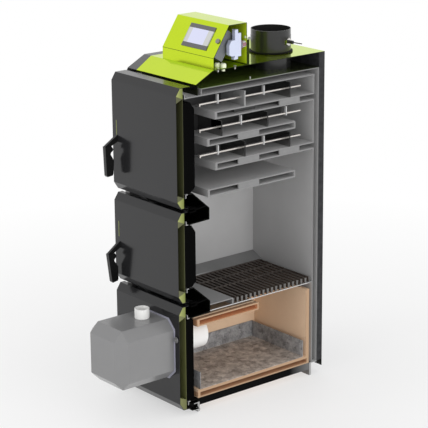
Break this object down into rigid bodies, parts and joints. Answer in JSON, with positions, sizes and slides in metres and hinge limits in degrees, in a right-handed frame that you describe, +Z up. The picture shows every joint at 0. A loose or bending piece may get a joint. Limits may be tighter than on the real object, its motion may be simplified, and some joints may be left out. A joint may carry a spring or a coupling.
{
  "type": "pellet boiler",
  "caption": "Cutaway pellet boiler: hinged doors, burner on the lower door, water shelves with turbulators, grate, ash pan, flue outlet and a control box on top.",
  "frame": {"origin": "on the floor, in the centre plane of the whole boiler and halfway along the depth of its casing, the section plane lying at x = 0.144 m", "axes": "+Z up, -Y the side of the doors and the burner, +X the side that is cut away"},
  "size_m": [0.4415, 1.061, 1.5145],
  "materials": {
    "dark_enamel": "gloss dark grey powder coat",
    "black_enamel": "gloss black powder coat",
    "green_enamel": "gloss yellow-green powder coat",
    "grey_enamel": "satin grey powder coat",
    "olive_enamel": "satin dark olive coat",
    "boiler_plate": "satin mill finish",
    "bright_steel": "bright zinc",
    "burner_grey": "satin grey powder coat",
    "cast_iron": "as cast",
    "zinc_sheet": "galvanised, spangled",
    "fire_clay": "matte fired clay",
    "black_board": "coated ceramic fibre board",
    "mineral_wool": "pressed wool board",
    "fibre_rope": "braided rope",
    "black_plastic": "gloss black",
    "grey_plastic": "matte grey",
    "light_plastic": "matte light grey",
    "cream_plastic": "matte cream",
    "screen_glass": "lit display",
    "rubber_seal": "matte",
    "white_tube": "white heat-resistant coat",
    "brass_fitting": "cast",
    "red_plastic": "matte"
  },
  "bodies": {
    "boiler": {"base_rails": "black_enamel", "side_panel": "black_enamel", "casing_insulation": "mineral_wool", "rear_panel": "black_enamel", "top_cover": "green_enamel", "hood_slope_panel": "green_enamel", "hood_side_trim": "grey_enamel", "jacket_outer_shell": "boiler_plate", "jacket_inner_shell": "boiler_plate", "water_shelves": "boiler_plate", "shelf_stays": "bright_steel", "cross_members": "black_enamel", "top_front_member": "olive_enamel", "door_seat_strips": "bright_steel", "rope_seals": "fibre_rope", "furnace_slope_plate": "boiler_plate", "furnace_front_deck": "boiler_plate", "grate_castings": "cast_iron", "chamber_liner": "fire_clay", "deflector_carrier": "boiler_plate", "flame_deflector": "fire_clay", "ash_pan": "zinc_sheet", "turbulator_rods": "bright_steel", "turbulator_baffles": "boiler_plate", "flue_outlet": "dark_enamel", "flue_gasket": "rubber_seal", "flue_sensor_bush": "bright_steel", "flue_sensor_probe": "black_plastic", "water_sockets": "black_enamel", "drain_cock_body": "brass_fitting", "control_box": "green_enamel", "display_housing": "grey_plastic", "display_screen": "screen_glass", "control_module": "light_plastic", "mounting_rail": "bright_steel", "cable_glands": "cream_plastic", "cover_screws": "bright_steel", "hinge_brackets": "olive_enamel"},
    "upper_door": {"upper_door_shell": "dark_enamel", "upper_door_frame": "olive_enamel", "upper_door_lining": "black_board"},
    "middle_door": {"middle_door_shell": "dark_enamel", "middle_door_frame": "olive_enamel", "middle_door_lining": "black_board"},
    "lower_door": {"lower_door_shell": "dark_enamel", "lower_door_frame": "olive_enamel", "lower_door_lining": "black_board", "burner_flange": "burner_grey", "burner_nuts": "bright_steel", "burner_cover": "burner_grey", "flame_tube": "white_tube", "pellet_inlet": "white_tube", "burner_drives": "grey_enamel"},
    "upper_handle": {"upper_door_handle": "black_plastic"},
    "middle_handle": {"middle_door_handle": "black_plastic"},
    "lower_handle": {"lower_door_handle": "black_plastic"},
    "fan_wheel": {"burner_fan_wheel": "boiler_plate"},
    "auger": {"feed_auger": "boiler_plate"},
    "drain_lever": {"drain_cock_lever": "red_plastic"},
    "button": {"power_button": "grey_plastic"}
  },
  "joints": [
    {"name": "upper_door_hinge", "type": "hinge", "parent": "boiler", "child": "upper_door", "pos_m": [0.152, -0.298, 1.075], "axis": [0, 0, 1], "range_deg": [0, 110]},
    {"name": "middle_door_hinge", "type": "hinge", "parent": "boiler", "child": "middle_door", "pos_m": [0.152, -0.298, 0.646], "axis": [0, 0, 1], "range_deg": [0, 110]},
    {"name": "lower_door_hinge", "type": "hinge", "parent": "boiler", "child": "lower_door", "pos_m": [0.152, -0.298, 0.237], "axis": [0, 0, 1], "range_deg": [0, 110]},
    {"name": "upper_handle_turn", "type": "hinge", "parent": "upper_door", "child": "upper_handle", "pos_m": [-0.232, -0.374, 1.045], "axis": [0, 1, 0], "range_deg": [0, 90]},
    {"name": "middle_handle_turn", "type": "hinge", "parent": "middle_door", "child": "middle_handle", "pos_m": [-0.232, -0.374, 0.613], "axis": [0, 1, 0], "range_deg": [0, 90]},
    {"name": "lower_handle_turn", "type": "hinge", "parent": "lower_door", "child": "lower_handle", "pos_m": [-0.232, -0.374, 0.254], "axis": [0, 1, 0], "range_deg": [0, 90]},
    {"name": "fan_spin", "type": "hinge", "parent": "lower_door", "child": "fan_wheel", "pos_m": [-0.058, -0.506, 0.212], "axis": [0, 1, 0], "continuous": true},
    {"name": "auger_spin", "type": "hinge", "parent": "lower_door", "child": "auger", "pos_m": [0, -0.476, 0.2705], "axis": [0, 1, 0], "continuous": true},
    {"name": "drain_lever_turn", "type": "hinge", "parent": "boiler", "child": "drain_lever", "pos_m": [-0.06, 0.4, 0.128], "axis": [0, 0, 1], "range_deg": [0, 90]},
    {"name": "power_button_press", "type": "slide", "parent": "boiler", "child": "button", "axis": [0, 0.8348, -0.5505], "range_m": [0, 0.002], "stiffness_N_per_m": 400}
  ]
}
